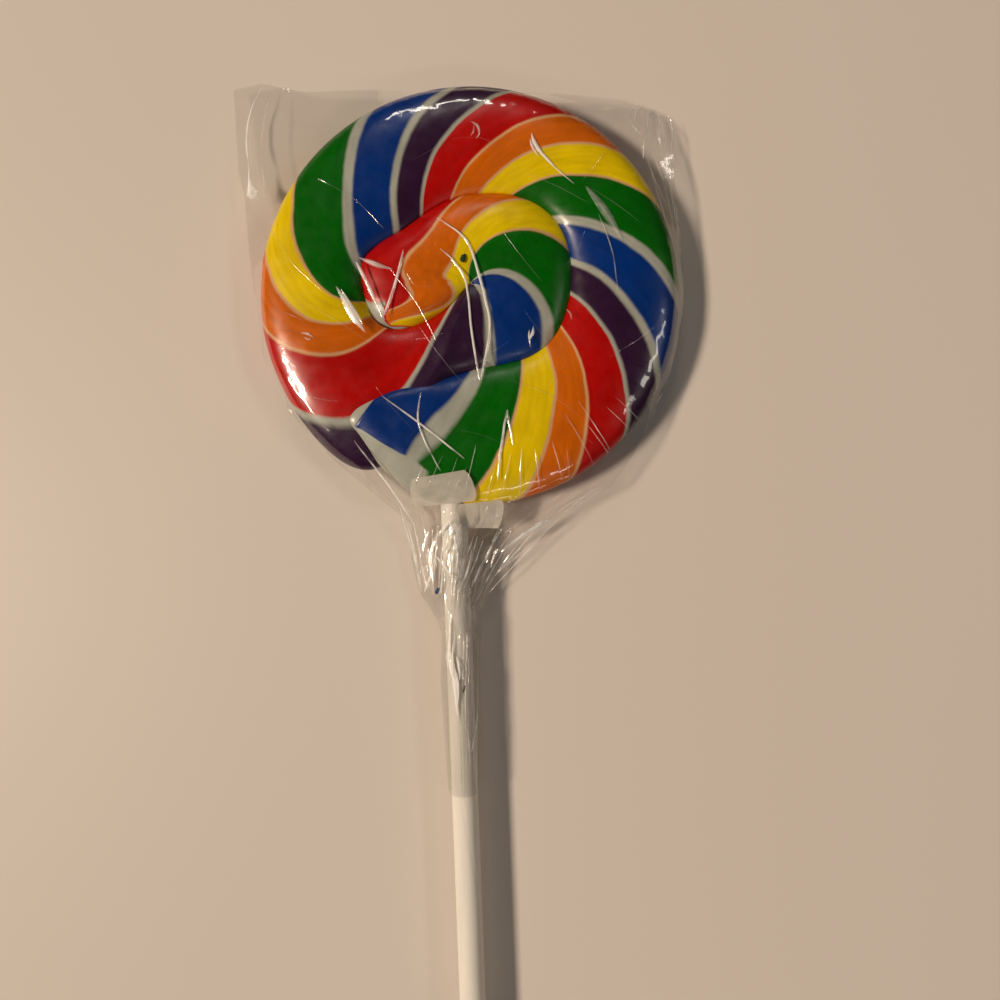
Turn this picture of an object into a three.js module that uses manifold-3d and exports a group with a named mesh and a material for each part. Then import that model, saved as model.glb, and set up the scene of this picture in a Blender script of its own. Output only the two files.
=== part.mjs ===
// A swirl lollipop in its clear bag, lying flat with its patterned side up.
// Millimetres. The origin is on the resting plane under the middle of the round head,
// +Z points up, and the stick runs along -Y. Angles round the head are clock angles:
// degrees clockwise from -X, seen from above.
import * as THREE from "three";
import { mergeVertices } from "three/addons/utils/BufferGeometryUtils.js";
import Module from "manifold-3d";

const wasm = await Module();
wasm.setup();

// Driving dimensions
const HEAD_DIAMETER = 76.2;
const CANDY_THICKNESS = 8.4;
const STICK_DIAMETER = 4.76;
const STICK_LENGTH = 114.3;
const STICK_INSERTED = 19.3;
const STICK_X = -4.4; // the stick went in a little to the left of the middle
const FILM_WALL = 0.4;
const CLEARANCE = 0.3;
const RIM_CLEARANCE = 0.6; // the bag is slacker round the rim
const SEAL_THICKNESS = 0.8; // the two films of the bag where they lie together
const SLEEVE_END_Y = -90.3; // where the gathered film stops on the stick
const RIM_ROUNDING = 10; // how far in from the rim the faces begin to round over
const STICK_BEVEL = 0.4;
const SLEEVE_LAP = 4; // how far the sleeve runs up into the head's part of the bag
const CUT_PAST = 1; // how far a cutting bar runs past what it cuts
const BAR_SIDES = 24;
const DISC_SIDES = 48;

// Worked out from them
const RIM_RADIUS = HEAD_DIAMETER / 2;
const HALF_CANDY = CANDY_THICKNESS / 2;
const MID_Z = FILM_WALL + CLEARANCE + HALF_CANDY;
const STICK_RADIUS = STICK_DIAMETER / 2;
const STICK_TOP_Y = STICK_INSERTED - RIM_RADIUS;
const STICK_END_Y = STICK_TOP_Y - STICK_LENGTH;
const BAG_RADIUS = RIM_RADIUS + RIM_CLEARANCE + FILM_WALL;
const SLEEVE_RADIUS = STICK_RADIUS + CLEARANCE + FILM_WALL;

// The rope of candy
const SQUARENESS = 2.5; // exponent of the superellipse that a pressed rope's section follows
const RIM_EDGE = 0.995; // how much of that section's half width is kept at a free edge
const CREASE_EDGE = 0.925; // and where one turn is pressed against the next
const EYE_EDGE = 0.8; // and in the middle, where the first turn closes on itself
const CREASE_OVERLAP = 0.3;
const EYE = new THREE.Vector2(0.15, 1.6); // the point that the first turn winds round
const ARCH_STEPS = 8; // faces across each side of the rope
const RINGS_PER_STATION = 2;

// The groove between the first turn and the second: clock angle, distance from the middle.
const CREASE = [
  [-22, 15.3],
  [-11, 17.9],
  [2, 18.9],
  [17, 20.2],
  [44, 16.9],
  [92, 17.9],
  [140, 20.5],
  [176, 18.4],
  [214, 16.8],
  [256, 13.6],
  [272, 13.8],
  [289, 15.9],
  [303, 18.4],
  [314, 24.3],
  [319, 30.6],
];

const creaseCurve = new THREE.CubicInterpolant(
  CREASE.map((knot) => knot[0]),
  CREASE.map((knot) => knot[1]),
  1,
);

// A point at a clock angle and a distance from the middle of the head.
function atClock(degrees, radius) {
  const a = THREE.MathUtils.degToRad(degrees);
  return new THREE.Vector2(-radius * Math.cos(a), radius * Math.sin(a));
}

function onCrease(degrees) {
  return atClock(degrees, creaseCurve.evaluate(degrees)[0]);
}

// One station of the rope: its two edges, how thick and how high it is there, and what
// each edge is. The inner edge faces the eye.
function station(inner, outer, shape = {}) {
  const plain = { thick: 1, lift: 0, innerEdge: CREASE_EDGE, outerEdge: CREASE_EDGE };
  return { inner, outer, ...plain, ...shape };
}

const point = (x, y) => new THREE.Vector2(x, y);

// The blunt end that the rope starts with, beside the eye.
function startCap() {
  return [
    station(point(-11.6, -5.7), point(-14.4, -5.6), { thick: 0.3, innerEdge: RIM_EDGE }),
    station(point(-8.2, -4.6), point(-17.2, -4.1), { thick: 0.68, innerEdge: RIM_EDGE }),
    station(point(-4.3, -2.3), point(-18.5, -1.7), { thick: 0.9 }),
  ];
}

// The first turn fans round the eye.
function firstTurn() {
  const stations = [];
  for (let angle = 4; angle <= 284; angle += 14)
    stations.push(station(EYE, onCrease(angle), { innerEdge: EYE_EDGE }));
  return stations;
}

// The rope then leaves the eye, passes its own start and reaches the rim.
function crossing() {
  return [
    station(point(-1.0, 0.3), point(-6.6, -17.0), { innerEdge: EYE_EDGE }),
    station(point(-4.9, -2.9), point(-11.0, -23.0), { lift: -0.3, thick: 0.93 }),
    station(point(-9.6, -5.0), atClock(300, 35), {
      lift: -0.3,
      thick: 0.9,
      outerEdge: RIM_EDGE,
    }),
    station(point(-14.2, -5.7), atClock(310, RIM_RADIUS), {
      lift: -0.15,
      thick: 0.95,
      outerEdge: RIM_EDGE,
    }),
    station(point(-17.6, -3.6), atClock(328, RIM_RADIUS), { outerEdge: RIM_EDGE }),
    station(onCrease(0), atClock(349, RIM_RADIUS), { outerEdge: RIM_EDGE }),
  ];
}

// The second turn is the outer ring, between the groove and the rim.
function secondTurn() {
  const stations = [];
  for (let angle = 368; angle <= 642; angle += 13.7)
    stations.push(
      station(onCrease(angle - 360), atClock(angle, RIM_RADIUS), { outerEdge: RIM_EDGE }),
    );
  return stations;
}

// The rope's last stretch narrows to a blunt tail that lies over the crossing.
function tail() {
  const free = { outerEdge: RIM_EDGE };
  return [
    station(onCrease(290), atClock(291, 36.8), { ...free, lift: 0.2 }),
    station(onCrease(297), atClock(298, 35.3), { ...free, lift: 0.4, thick: 0.95 }),
    station(onCrease(304), atClock(304, 34.2), { ...free, lift: 0.6, thick: 0.9 }),
    station(onCrease(311), atClock(309.5, 33.4), { ...free, lift: 0.9, thick: 0.8 }),
    station(onCrease(316), atClock(314.5, 32.6), { lift: 1.2, thick: 0.65, outerEdge: RIM_EDGE }),
    station(onCrease(318.6), atClock(318.4, 31.8), {
      lift: 1.4,
      thick: 0.3,
      innerEdge: RIM_EDGE,
      outerEdge: RIM_EDGE,
    }),
  ];
}

// The ring of points round the rope at one station, from the outer edge over the top to
// the inner edge and back underneath.
function sectionPoints(at) {
  const across = new THREE.Vector2().subVectors(at.inner, at.outer);
  const overlap = across.clone().normalize().multiplyScalar(CREASE_OVERLAP);
  const outer = at.outer.clone();
  const inner = at.inner.clone();
  if (at.outerEdge < RIM_EDGE) outer.sub(overlap);
  if (at.innerEdge > EYE_EDGE) inner.add(overlap);
  const first = Math.acos(at.outerEdge ** (SQUARENESS / 2));
  const last = Math.PI - Math.acos(at.innerEdge ** (SQUARENESS / 2));
  const top = [];
  const bottom = [];
  for (let i = 0; i <= ARCH_STEPS; i++) {
    const phi = THREE.MathUtils.lerp(first, last, i / ARCH_STEPS);
    const side = Math.sign(Math.cos(phi)) * Math.abs(Math.cos(phi)) ** (2 / SQUARENESS);
    const height = HALF_CANDY * at.thick * Math.sin(phi) ** (2 / SQUARENESS);
    const share = (at.outerEdge - side) / (at.outerEdge + at.innerEdge);
    const flat = outer.clone().lerp(inner, share);
    top.push(new THREE.Vector3(flat.x, flat.y, MID_Z + at.lift + height));
    bottom.unshift(new THREE.Vector3(flat.x, flat.y, MID_Z + at.lift - height));
  }
  // Nothing reaches past the two flat faces that the press leaves.
  const ring = [...top, ...bottom];
  for (const p of ring)
    p.z = THREE.MathUtils.clamp(p.z, MID_Z - HALF_CANDY, MID_Z + HALF_CANDY);
  return ring;
}

// Stations between the given ones, on smooth curves through them.
function refine(stations) {
  const lift = (v, z) => new THREE.Vector3(v.x, v.y, z);
  const inner = new THREE.CatmullRomCurve3(
    stations.map((s) => lift(s.inner, s.lift)), false, "catmullrom");
  const outer = new THREE.CatmullRomCurve3(
    stations.map((s) => lift(s.outer, s.thick)), false, "catmullrom");
  const edges = new THREE.CatmullRomCurve3(
    stations.map((s) => new THREE.Vector3(s.innerEdge, s.outerEdge, 0)), false, "catmullrom");
  const steps = (stations.length - 1) * RINGS_PER_STATION;
  const fine = [];
  for (let i = 0; i <= steps; i++) {
    const a = inner.getPoint(i / steps);
    const b = outer.getPoint(i / steps);
    const e = edges.getPoint(i / steps);
    fine.push(
      station(point(a.x, a.y), point(b.x, b.y), {
        lift: a.z,
        thick: b.z,
        innerEdge: Math.min(e.x, RIM_EDGE),
        outerEdge: Math.min(e.y, RIM_EDGE),
      }),
    );
  }
  return fine;
}

// A manifold-3d solid of a closed geometry.
function solid(geometry) {
  const bare = geometry.index ? geometry.toNonIndexed() : geometry.clone();
  bare.deleteAttribute("normal");
  bare.deleteAttribute("uv");
  const merged = mergeVertices(bare, 1e-4);
  return new wasm.Manifold(
    new wasm.Mesh({
      numProp: 3,
      vertProperties: new Float32Array(merged.attributes.position.array),
      triVerts: new Uint32Array(merged.index.array),
    }),
  );
}

function geometryOf(manifold) {
  const mesh = manifold.getMesh();
  return new THREE.BufferGeometry()
    .setAttribute("position", new THREE.BufferAttribute(new Float32Array(mesh.vertProperties), 3))
    .setIndex(new THREE.BufferAttribute(new Uint32Array(mesh.triVerts), 1));
}

// A closed skin over successive rings of points, with a fan of faces at each end.
function skin(rings) {
  const count = rings[0].length;
  const positions = rings.flat().flatMap((p) => [p.x, p.y, p.z]);
  const index = [];
  for (let r = 0; r + 1 < rings.length; r++)
    for (let i = 0; i < count; i++) {
      const a = r * count + i;
      const b = r * count + ((i + 1) % count);
      index.push(a, b, a + count, b, b + count, a + count);
    }
  const last = (rings.length - 1) * count;
  for (let i = 1; i + 1 < count; i++) {
    index.push(0, i + 1, i);
    index.push(last, last + i, last + i + 1);
  }
  return new THREE.BufferGeometry()
    .setAttribute("position", new THREE.BufferAttribute(new Float32Array(positions), 3))
    .setIndex(index);
}

// The rope is skinned in stretches that don't cross themselves, and then joined.
function makeCandy() {
  const stations = refine([...startCap(), ...firstTurn(), ...crossing(), ...secondTurn(), ...tail()]);
  const rings = stations.map(sectionPoints);
  const turnEnd = (startCap().length + firstTurn().length - 1) * RINGS_PER_STATION;
  const half = Math.round((turnEnd + rings.length) / 2);
  const stretches = [
    rings.slice(0, turnEnd + 1),
    rings.slice(turnEnd, half + 1),
    rings.slice(half),
  ];
  const rope = stretches.map((part) => solid(skin(part))).reduce((all, next) => all.add(next));
  const socketTop = STICK_TOP_Y + CLEARANCE;
  const socket = alongStick(STICK_RADIUS + CLEARANCE, socketTop, -BAG_RADIUS - CUT_PAST);
  return geometryOf(rope.subtract(solid(socket)));
}

// A round bar on the stick's axis between two places along Y.
function alongStick(radius, fromY, toY) {
  const bar = new THREE.CylinderGeometry(radius, radius, fromY - toY, BAR_SIDES);
  return bar.translate(STICK_X, (fromY + toY) / 2, MID_Z);
}

function makeStick() {
  const profile = [
    point(0, STICK_END_Y),
    point(STICK_RADIUS - STICK_BEVEL, STICK_END_Y),
    point(STICK_RADIUS, STICK_END_Y + STICK_BEVEL),
    point(STICK_RADIUS, STICK_TOP_Y - STICK_BEVEL),
    point(STICK_RADIUS - STICK_BEVEL, STICK_TOP_Y),
    point(0, STICK_TOP_Y),
  ];
  const bar = new THREE.LatheGeometry(profile, BAR_SIDES);
  return geometryOf(solid(bar.translate(STICK_X, 0, MID_Z)));
}

// A pressed disc: flat faces that round over to the rim.
function pressedDisc(radius, halfThickness) {
  const steps = 6;
  const profile = [point(0, -halfThickness)];
  for (let i = 0; i <= 2 * steps; i++) {
    const phi = (i / steps - 1) * (Math.PI / 2);
    const out = Math.cos(phi) ** (2 / SQUARENESS);
    const up = Math.sign(phi) * Math.abs(Math.sin(phi)) ** (2 / SQUARENESS);
    const r = radius - RIM_ROUNDING + RIM_ROUNDING * (i % (2 * steps) ? out : 0);
    profile.push(point(r, halfThickness * up));
  }
  profile.push(point(0, halfThickness));
  const disc = new THREE.LatheGeometry(profile, DISC_SIDES);
  return disc.rotateX(Math.PI / 2).translate(0, 0, MID_Z);
}

// The flat margins of the bag: square corners above the head, and the gathered neck below.
function bagMargin() {
  const outline = [
    [-43.0, 41.0],
    [-37.6, 42.0],
    [-29.8, 39.6],
    [10.6, 36.8],
    [35.4, 35.3],
    [38.8, 29.8],
    [37.2, 16.7],
    [36.0, 0],
    [33.4, -21.5],
    [28.9, -30.2],
    [24.2, -36.0],
    [13.1, -41.4],
    [4.6, -46.4],
    [1.3, -54.4],
    [-1.6, -58.0],
    [-7.2, -60.8],
    [-11.6, -53.8],
    [-12.8, -47.4],
    [-12.2, -41.1],
    [-26.8, -28.2],
    [-36.5, 0],
    [-42.0, 23.4],
  ];
  const shape = new THREE.Shape(outline.map(([x, y]) => point(x, y)));
  return new THREE.ExtrudeGeometry(shape, { depth: SEAL_THICKNESS, bevelEnabled: false }).translate(
    0,
    0,
    MID_Z - SEAL_THICKNESS / 2,
  );
}

// The bag is hollow round the head and open round the stick at the sleeve's lower end.
function makeWrapper() {
  const outside = solid(pressedDisc(BAG_RADIUS, MID_Z))
    .add(solid(bagMargin()))
    .add(solid(alongStick(SLEEVE_RADIUS, -RIM_RADIUS + SLEEVE_LAP, SLEEVE_END_Y)));
  const room = solid(pressedDisc(BAG_RADIUS - FILM_WALL, MID_Z - FILM_WALL));
  const channel = solid(alongStick(STICK_RADIUS + CLEARANCE, 0, SLEEVE_END_Y - CUT_PAST));
  return geometryOf(outside.subtract(room).subtract(channel));
}

const finish = (color, roughness, extra = {}) =>
  new THREE.MeshStandardMaterial({ color, roughness, metalness: 0, ...extra });

function named(name, geometry, material) {
  geometry.computeVertexNormals();
  const mesh = new THREE.Mesh(geometry, material);
  mesh.name = name;
  return mesh;
}

const lollipop = new THREE.Group();
lollipop.add(
  named("candy", makeCandy(), finish(0xc01808, 0.25)),
  named("stick", makeStick(), finish(0xf2efe8, 0.65)),
  named("wrapper", makeWrapper(), finish(0xffffff, 0.1, { transparent: true, opacity: 0.2 })),
);

export default lollipop;
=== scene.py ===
"""Looks of the swirl lollipop: the twisted candy rope, its paper stick and the clear creased bag."""
import math

import bpy
import numpy as np
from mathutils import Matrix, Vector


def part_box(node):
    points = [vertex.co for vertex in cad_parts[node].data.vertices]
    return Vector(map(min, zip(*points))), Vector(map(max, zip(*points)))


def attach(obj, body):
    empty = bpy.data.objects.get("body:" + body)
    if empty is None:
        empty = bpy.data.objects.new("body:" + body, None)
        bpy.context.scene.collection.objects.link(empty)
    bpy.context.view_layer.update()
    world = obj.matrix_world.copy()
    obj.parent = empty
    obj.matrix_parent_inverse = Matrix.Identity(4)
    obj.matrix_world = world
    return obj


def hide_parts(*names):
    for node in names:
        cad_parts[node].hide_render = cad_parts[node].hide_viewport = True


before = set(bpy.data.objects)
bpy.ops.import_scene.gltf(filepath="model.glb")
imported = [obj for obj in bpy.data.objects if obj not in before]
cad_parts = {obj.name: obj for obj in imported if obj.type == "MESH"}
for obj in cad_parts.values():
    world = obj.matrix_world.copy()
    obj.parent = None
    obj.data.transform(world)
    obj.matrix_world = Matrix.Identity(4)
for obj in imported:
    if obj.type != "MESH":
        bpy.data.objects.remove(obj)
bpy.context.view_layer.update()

# Everything below is worked out in millimetres and turned into metres when a mesh is made.
MM = 0.001
candy_low, candy_high = np.array(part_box("candy")) / MM
stick_low, stick_high = np.array(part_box("stick")) / MM
bag_low, bag_high = np.array(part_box("wrapper")) / MM
RIM = (candy_high[1] - candy_low[1]) / 2
MID_Z = (candy_high[2] + candy_low[2]) / 2
HALF_CANDY = (candy_high[2] - candy_low[2]) / 2
STICK_X = (stick_high[0] + stick_low[0]) / 2
STICK_RADIUS = (stick_high[0] - stick_low[0]) / 2


# ---------------------------------------------------------------- helpers

def linear(red, green, blue):
    """A colour given as 0..255 display values, for a shader."""
    def one(v):
        v = v / 255
        return v / 12.92 if v <= 0.04045 else ((v + 0.055) / 1.055) ** 2.4
    return (one(red), one(green), one(blue), 1.0)


def smoothstep(low, high, v):
    """0 where v is at low, 1 where it is at high, and smooth between. Low may be the larger."""
    t = np.clip((v - low) / (high - low), 0, 1)
    return t * t * (3 - 2 * t)


def lattice_noise(x, y, seed):
    """Smooth noise from 0 to 1 with one swing to a unit of x or y."""
    grid = np.random.RandomState(seed).rand(128, 128)
    ix, iy = np.floor(x).astype(int), np.floor(y).astype(int)
    fx, fy = x - ix, y - iy
    fx, fy = fx * fx * (3 - 2 * fx), fy * fy * (3 - 2 * fy)
    at = lambda i, j: grid[(ix + i) % 128, (iy + j) % 128]
    low = at(0, 0) * (1 - fx) + at(1, 0) * fx
    high = at(0, 1) * (1 - fx) + at(1, 1) * fx
    return low * (1 - fy) + high * fy


def ridged(x, y, seed):
    """Noise with sharp crests at 1 and round valleys at 0."""
    return 1 - np.abs(2 * lattice_noise(x, y, seed) - 1)


def mesh_object(name, vertices, faces, material, smooth=True):
    """A new object from points in millimetres."""
    mesh = bpy.data.meshes.new(name)
    mesh.from_pydata((np.asarray(vertices) * MM).tolist(), [], faces)
    mesh.polygons.foreach_set("use_smooth", [smooth] * len(mesh.polygons))
    mesh.materials.append(material)
    mesh.update()
    piece = bpy.data.objects.new(name, mesh)
    bpy.context.scene.collection.objects.link(piece)
    return piece


def grid_faces(rows, columns, closed=False, start=0, flip=False):
    """Quads over points that are counted row by row. A closed grid's last column meets its first."""
    faces = []
    across = columns if closed else columns - 1
    for r in range(rows - 1):
        for c in range(across):
            a = start + r * columns + c
            b = start + r * columns + (c + 1) % columns
            quad = (a, b, b + columns, a + columns)
            faces.append(quad[::-1] if flip else quad)
    return faces


class Nodes:
    """A material's node tree, with short calls for adding and joining nodes."""

    def __init__(self, name):
        self.material = bpy.data.materials.new(name)
        self.material.use_nodes = True
        self.tree = self.material.node_tree
        self.tree.nodes.clear()
        self.out = self.add("ShaderNodeOutputMaterial")

    def add(self, kind, **settings):
        node = self.tree.nodes.new(kind)
        for key, value in settings.items():
            if key.startswith("in_"):
                node.inputs[key[3:].replace("_", " ")].default_value = value
            else:
                setattr(node, key, value)
        return node

    def join(self, source, target):
        self.tree.links.new(source, target)

    def math(self, operation, a, b=None, clamp=False):
        node = self.add("ShaderNodeMath", operation=operation, use_clamp=clamp)
        for socket, value in zip(node.inputs, (a, b)):
            if value is None:
                continue
            if hasattr(value, "links"):
                self.join(value, socket)
            else:
                socket.default_value = value
        return node.outputs[0]

    def noise(self, scale, detail=2.0, roughness=0.5, vector=None):
        node = self.add("ShaderNodeTexNoise")
        node.inputs["Scale"].default_value = scale
        node.inputs["Detail"].default_value = detail
        node.inputs["Roughness"].default_value = roughness
        if vector is None:
            vector = self.add("ShaderNodeTexCoord").outputs["Object"]
        self.join(vector, node.inputs["Vector"])
        return node.outputs["Fac"]


# ---------------------------------------------------------------- camera, floor and light

CAMERA_HEIGHT = 142.3
CAMERA_PLACE = (4.08, -37.27, CAMERA_HEIGHT)
CAMERA_ROLL = math.radians(-2.2)  # the stick leans a little in the picture
CAMERA_LENS = 27.04


def make_camera():
    data = bpy.data.cameras.new("camera")
    data.lens = CAMERA_LENS
    data.sensor_width = 36
    data.clip_start = 0.005
    camera = bpy.data.objects.new("camera", data)
    camera.location = [v * MM for v in CAMERA_PLACE]
    camera.rotation_euler = (0, 0, CAMERA_ROLL)
    bpy.context.scene.collection.objects.link(camera)
    bpy.context.scene.camera = camera


def make_floor():
    n = Nodes("floor_pale")
    shader = n.add("ShaderNodeBsdfPrincipled", in_Roughness=0.5)
    shader.inputs["Base Color"].default_value = (0.73, 0.665, 0.61, 1)
    shader.inputs["Specular IOR Level"].default_value = 0.25
    n.join(shader.outputs[0], n.out.inputs[0])
    reach = 1500  # mm
    corners = [(-reach, -reach, 0), (reach, -reach, 0), (reach, reach, 0), (-reach, reach, 0)]
    floor = mesh_object("floor", corners, [(0, 1, 2, 3)], n.material, smooth=False)


def area_light(name, azimuth, elevation, distance, size, power, colour):
    """A rectangular lamp: azimuth is degrees clockwise from -X seen from above."""
    data = bpy.data.lights.new(name, "AREA")
    data.shape = "RECTANGLE"
    data.size, data.size_y = size
    data.energy = power
    data.color = colour
    lamp = bpy.data.objects.new(name, data)
    a, e = math.radians(azimuth), math.radians(elevation)
    lamp.location = (
        -distance * math.cos(e) * math.cos(a),
        distance * math.cos(e) * math.sin(a),
        distance * math.sin(e),
    )
    # An area lamp shines along its -Z: turn it to face the origin.
    lamp.rotation_euler = (-lamp.location).to_track_quat("-Z", "Y").to_euler()
    bpy.context.scene.collection.objects.link(lamp)


def make_light():
    """One warm lamp casts the shadows. Three weak strips soften them and give the film its glints."""
    warm = (1.0, 0.82, 0.64)
    pale = (1.0, 0.91, 0.82)
    area_light("key_left", -6, 44, 1.9, (0.34, 0.21), 31.5, warm)
    area_light("strip_top", 84, 40, 1.0, (0.30, 0.05), 0.8, pale)
    area_light("fill_right", 182, 44, 1.1, (0.4, 0.12), 1.0, pale)
    area_light("fill_front", 255, 42, 1.1, (0.5, 0.05), 0.7, pale)
    world = bpy.data.worlds.new("world")
    world.use_nodes = True
    background = world.node_tree.nodes["Background"]
    background.inputs[0].default_value = (1.0, 0.85, 0.7, 1)
    background.inputs[1].default_value = 0.006
    bpy.context.scene.world = world


# ---------------------------------------------------------------- the candy rope

SQUARENESS = 2.5  # exponent of the superellipse that the pressed rope's section follows
FREE = 0.9995     # how much of that section's half width is kept at a free edge,
PRESSED = 0.925   # where one turn is pressed against the next,
MIDDLE = 0.8      # and where the first turn closes round the eye
EYE = (0.15, 1.6)       # where the first turn closes on itself
RINGS_PER_STATION = 16
ARCH_STEPS = 34         # steps across the rope's upper face, and as many across its lower one

# The groove between the first turn and the second: clock angle, distance from the middle.
CREASE = np.array([
    (-22, 15.3), (-11, 17.9), (2, 18.9), (17, 20.2), (44, 16.9), (92, 17.9), (140, 20.5), (176, 18.4),
    (214, 16.8), (256, 13.6), (272, 13.8), (289, 15.9), (303, 18.4), (314, 24.3), (319, 30.6),
])

# Millimetres of rope to one full twist, from each of these stations on: the blunt start is
# pulled out nearly straight, the first turn is tight, the rope hardly twists where it leaves
# the eye, and the outer ring is twisted evenly.
LAYS = [
    (0, 175.0), (7.5, 42.0), (18.8, 22.0), (21.5, 1500.0), (25.5, 380.0),
    (28.0, 55.0), (29.8, 84.0), (31.8, 60.0), (44.5, 51.0),
]
LAY_BLEND = 1.5     # stations over which one lay runs into the next
START_TWIST = -0.07
# The part of a twist that shows across the rope's upper face, from station to station. It's
# less at both ends, and where the rope leaves the eye and its strands lie straight across it.
TOP_TWISTS = np.array([
    (0, 0.12), (1, 0.24), (2, 0.34), (3, 0.43), (10, 0.42), (17, 0.36), (19, 0.25), (21, 0.09), (22, 0.06),
    (24, 0.09), (26, 0.20), (27, 0.23), (28, 0.33), (29, 0.43), (46, 0.43), (49, 0.33), (52, 0.16),
])

# The blunt start: the strands bend round it by part of a twist, and it has a white edge.
START_BEND, START_BEND_STATIONS = 0.32, (2.6, 0.2)
START_EDGE, START_EDGE_STATIONS = (0.17, 0.15), (3.0, 2.0)  # shares of the girth from the outer side
START_TIP_STATIONS = (0.5, 0.3)
# The tail: its white strand spreads, then all run together into the blue one in a white edge.
TAIL_TURNS = 3  # whole twists before it
SPREAD, SPREAD_REACH, SPREAD_STATIONS = 0.55, 0.075, (43, 50)
TAIL_STATIONS = (50.5, 53.0)
TAIL_EDGE, TAIL_EDGE_STATIONS = (0.145, 0.125), (49.4, 50.8)
TAIL_TIP_STATIONS = (54.3, 54.6)

GROOVE, GROOVE_WIDTH = 0.07, 0.012  # depth in mm of the line between two strands, and width in twists
LUMPS = [(7, 0.22, 3), (2.6, 0.10, 4)]  # the sugar's unevenness: size and depth in mm, and seed

RED = linear(188, 6, 1)
ORANGE = linear(217, 108, 4)
YELLOW = linear(241, 211, 0)
GREEN = linear(0, 101, 2)
BLUE = linear(0, 51, 130)
PURPLE = linear(50, 22, 56)
WHITE = linear(178, 181, 170)
CREAM = linear(224, 176, 128)

# The strands in the order in which they follow each other, and how wide each one is.
STRANDS = [
    (RED, 15), (CREAM, 1.2), (ORANGE, 12), (CREAM, 1.2), (YELLOW, 13), (CREAM, 1),
    (GREEN, 19), (WHITE, 4), (BLUE, 16), (WHITE, 3), (PURPLE, 12), (WHITE, 2),
]


def band_starts():
    """Where each strand starts in one twist of the rope, from 0 to 1."""
    widths = np.array([width for _, width in STRANDS])
    return np.concatenate([[0], np.cumsum(widths)[:-1]]) / widths.sum()


def middle_of(strand):
    """The middle of one of the strands, counted from 0, in one twist of the rope."""
    ends = np.append(band_starts(), 1.0)
    return (ends[strand] + ends[strand + 1]) / 2


WHITE_BEFORE_BLUE = middle_of(7)
BLUE_MIDDLE = middle_of(8)
WHITE_BEFORE_RED = middle_of(11)


def at_clock(degrees, radius):
    a = math.radians(degrees)
    return (-radius * math.cos(a), radius * math.sin(a))


def on_crease(degrees):
    """The groove's place at a clock angle, on a smooth curve through its knots."""
    angles, radii = CREASE[:, 0], CREASE[:, 1]
    slopes = np.gradient(radii, angles)
    i = int(np.clip(np.searchsorted(angles, degrees) - 1, 0, len(angles) - 2))
    span = angles[i + 1] - angles[i]
    t = (degrees - angles[i]) / span
    radius = (
        (2 * t**3 - 3 * t**2 + 1) * radii[i]
        + (t**3 - 2 * t**2 + t) * span * slopes[i]
        + (3 * t**2 - 2 * t**3) * radii[i + 1]
        + (t**3 - t**2) * span * slopes[i + 1]
    )
    return at_clock(degrees, radius)


def station(inner, outer, thick=1.0, lift=0.0, inner_edge=PRESSED, outer_edge=PRESSED):
    return (*inner, *outer, thick, lift, inner_edge, outer_edge)


def rope_stations():
    """The rope from its start beside the eye to its tail: two edges, thickness and height."""
    stations = [
        station((-11.6, -5.7), (-14.4, -5.6), thick=0.3, inner_edge=FREE),
        station((-8.2, -4.6), (-17.2, -4.1), thick=0.68, inner_edge=FREE),
        station((-4.3, -2.3), (-18.5, -1.7), thick=0.9),
    ]
    for angle in range(4, 285, 14):
        stations.append(station(EYE, on_crease(angle), inner_edge=MIDDLE))
    stations += [
        station((-1.0, 0.3), (-6.6, -17.0), inner_edge=MIDDLE),
        station((-4.9, -2.9), (-11.0, -23.0), 0.93, -0.3),
        station((-9.6, -5.0), at_clock(300, 35), 0.9, -0.3, outer_edge=FREE),
        station((-14.2, -5.7), at_clock(310, RIM), 0.95, -0.15, outer_edge=FREE),
        station((-17.6, -3.6), at_clock(328, RIM), outer_edge=FREE),
        station(on_crease(0), at_clock(349, RIM), outer_edge=FREE),
    ]
    for angle in np.arange(368, 642.1, 13.7):
        stations.append(station(on_crease(angle - 360), at_clock(angle, RIM), outer_edge=FREE))
    stations += [
        station(on_crease(290), at_clock(291, 36.8), 1.0, 0.2, outer_edge=FREE),
        station(on_crease(297), at_clock(298, 35.3), 0.95, 0.4, outer_edge=FREE),
        station(on_crease(304), at_clock(304, 34.2), 0.9, 0.6, outer_edge=FREE),
        station(on_crease(311), at_clock(309.5, 33.4), 0.8, 0.9, outer_edge=FREE),
        station(on_crease(316), at_clock(314.5, 32.6), 0.65, 1.2, outer_edge=FREE),
        station(on_crease(318.6), at_clock(318.4, 31.8), 0.3, 1.4, FREE, FREE),
    ]
    return np.array(stations)


def through(points, t):
    """Catmull-Rom curve through points, at places t counted in points."""
    padded = np.vstack([2 * points[0] - points[1], points, 2 * points[-1] - points[-2]])
    i = np.clip(np.floor(t).astype(int), 0, len(points) - 2)
    f = (t - i)[:, None]
    p0, p1, p2, p3 = (padded[i + k] for k in range(4))
    return 0.5 * (
        2 * p1 + (p2 - p0) * f + (2 * p0 - 5 * p1 + 4 * p2 - p3) * f**2 + (3 * p1 - p0 - 3 * p2 + p3) * f**3
    )


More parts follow.
